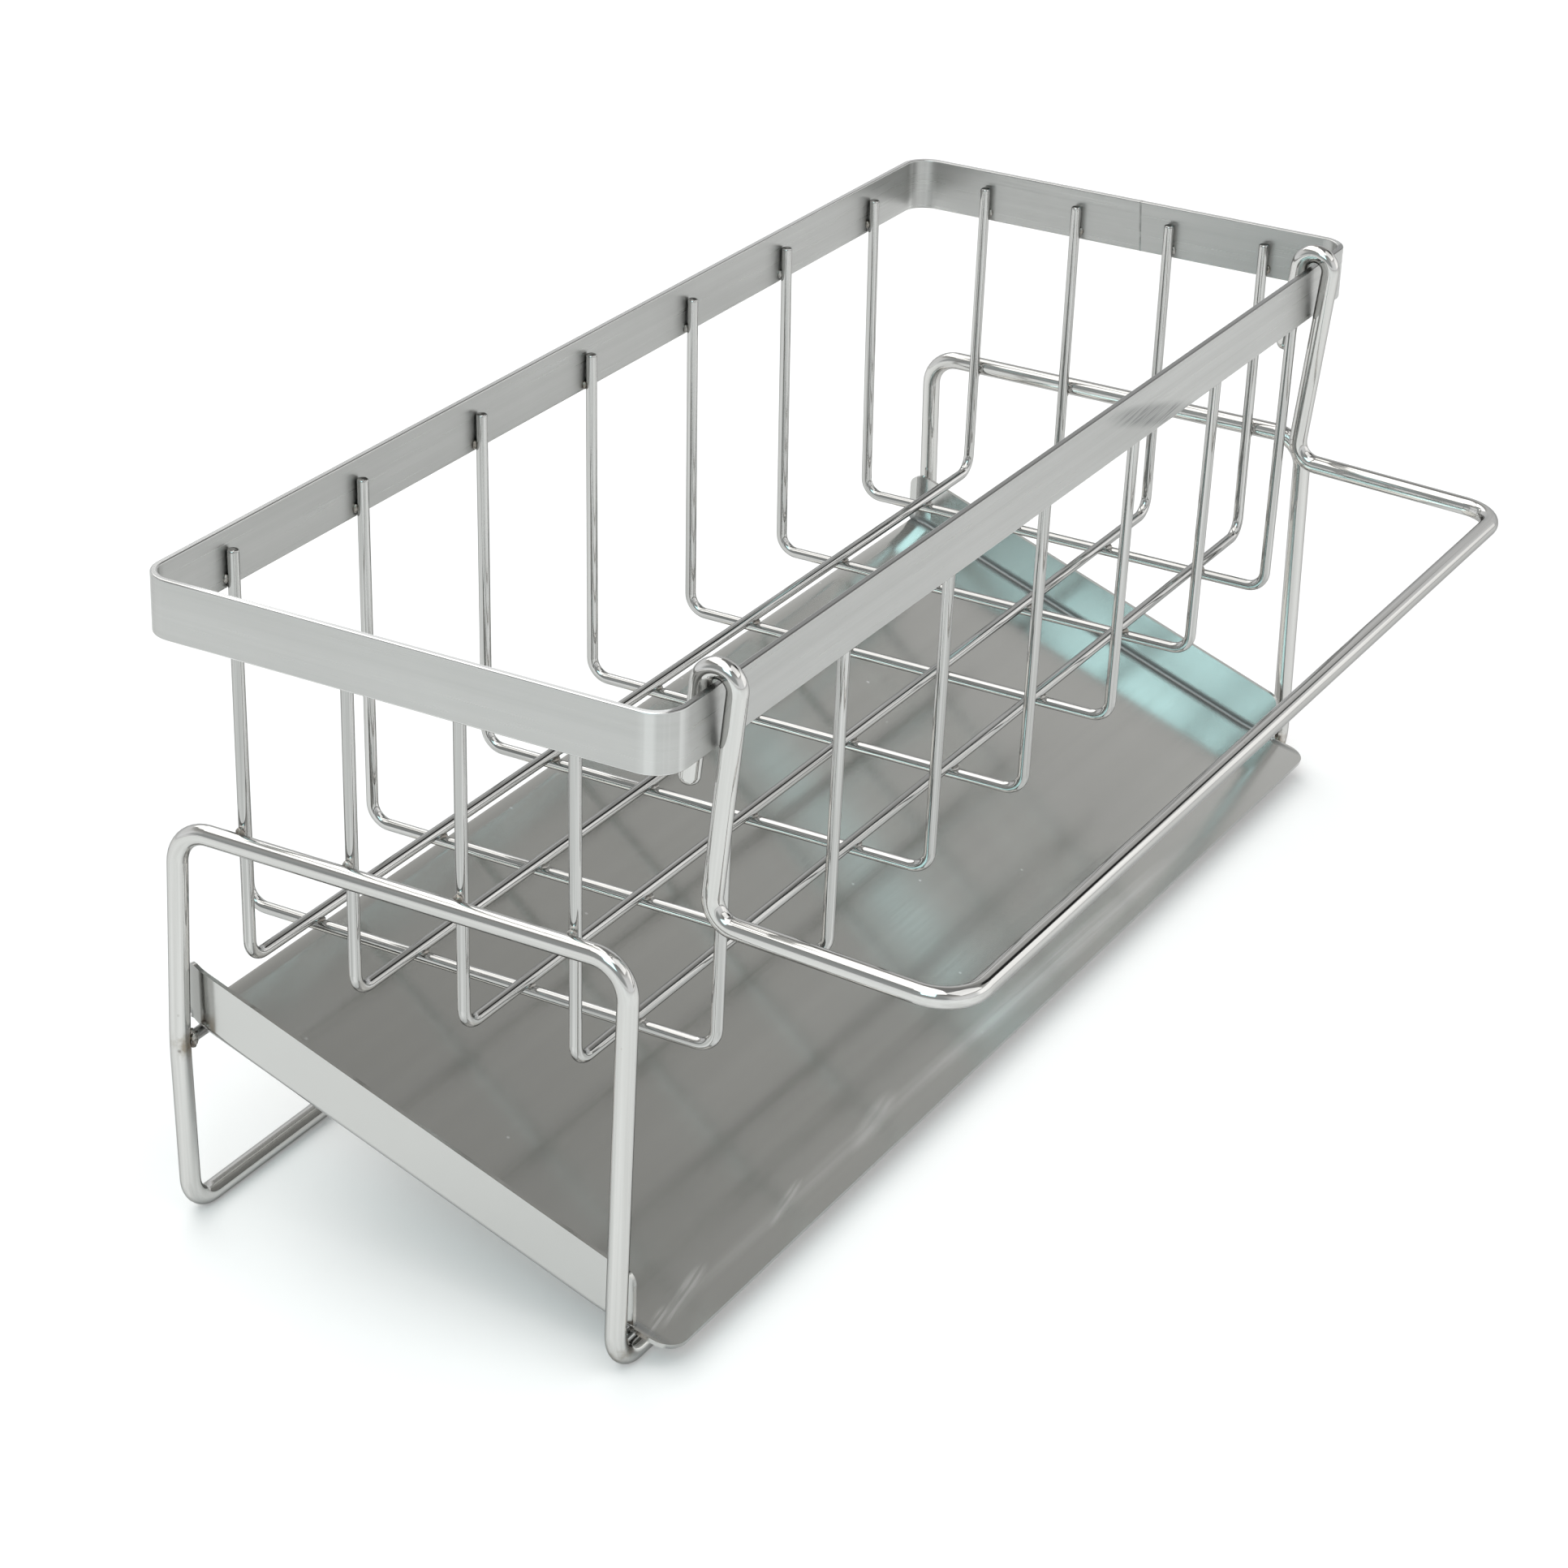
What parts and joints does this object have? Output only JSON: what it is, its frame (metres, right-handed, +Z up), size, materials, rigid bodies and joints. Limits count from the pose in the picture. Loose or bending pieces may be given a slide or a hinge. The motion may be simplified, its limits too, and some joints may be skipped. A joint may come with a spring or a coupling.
{
  "type": "sponge holder",
  "caption": "Free-standing welded wire sponge holder: banded basket on a bent-wire base, sloping slide-out drain tray and a hook-on cloth rail.",
  "frame": {"origin": "middle of the base, on the counter that the floor rails stand on", "axes": "+X along the length, -Y towards the front where the tray drains and the cloth rail hangs, +Z up"},
  "size_m": [0.2608, 0.1367, 0.1162],
  "materials": {
    "band": "satin, brushed along the strip",
    "wire": "polished",
    "frame": "polished",
    "rail": "polished",
    "tray": "satin"
  },
  "bodies": {
    "holder": {"rim_band": "band", "cross_wire_1": "wire", "cross_wire_2": "wire", "cross_wire_3": "wire", "cross_wire_4": "wire", "cross_wire_5": "wire", "cross_wire_6": "wire", "cross_wire_7": "wire", "long_wire_1": "wire", "long_wire_2": "wire", "long_wire_3": "wire", "long_wire_4": "wire", "base_frame": "frame", "back_tray_rod": "wire", "front_tray_rod": "wire"},
    "tray": {"drain_tray": "tray"},
    "rail": {"cloth_rail": "rail"}
  },
  "joints": [
    {"name": "tray_slide", "type": "slide", "parent": "holder", "child": "tray", "axis": [0, -1, 0], "range_m": [0, 0.096]},
    {"name": "rail_lift", "type": "slide", "parent": "holder", "child": "rail", "axis": [0, -0.0958, 0.9954], "range_m": [0, 0.022]}
  ]
}
